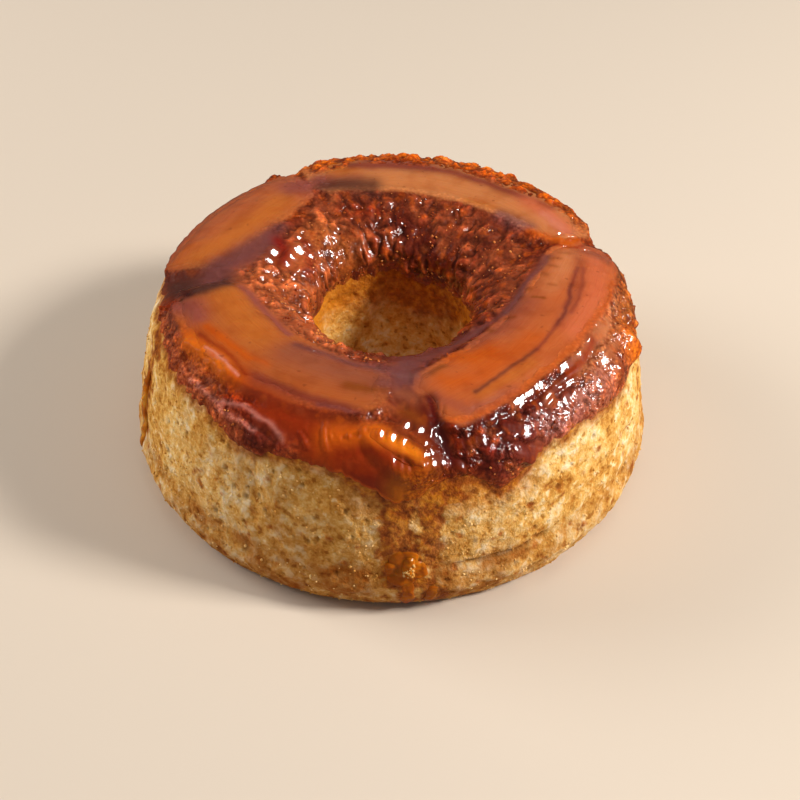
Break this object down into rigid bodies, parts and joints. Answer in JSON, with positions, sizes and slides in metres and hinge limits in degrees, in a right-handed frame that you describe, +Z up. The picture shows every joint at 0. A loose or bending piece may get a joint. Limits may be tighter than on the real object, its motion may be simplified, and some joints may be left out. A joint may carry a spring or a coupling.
{
  "type": "caramelized banana ring cake",
  "caption": "Upside-down ring cake with a golden crumb, glossy dark caramel and long banana slices on top.",
  "frame": {"origin": "centre of the flat base, on the surface the cake stands on", "axes": "+Z up along the ring's axis, -Y towards the picture's viewer, +X to the viewer's right"},
  "size_m": [0.1898, 0.192, 0.0729],
  "materials": {
    "crumb": "golden baked cake crumb, dry and porous",
    "caramel": "dark set caramel, craggy and glossy",
    "glazed_banana": "amber glazed banana, smooth and glossy"
  },
  "bodies": {
    "root": {"cake_ring": "crumb", "caramel_crust": "caramel", "banana_slice_back": "glazed_banana", "banana_slice_right": "glazed_banana", "banana_slice_front": "glazed_banana", "banana_slice_left": "glazed_banana", "banana_piece_front": "glazed_banana"}
  },
  "joints": []
}
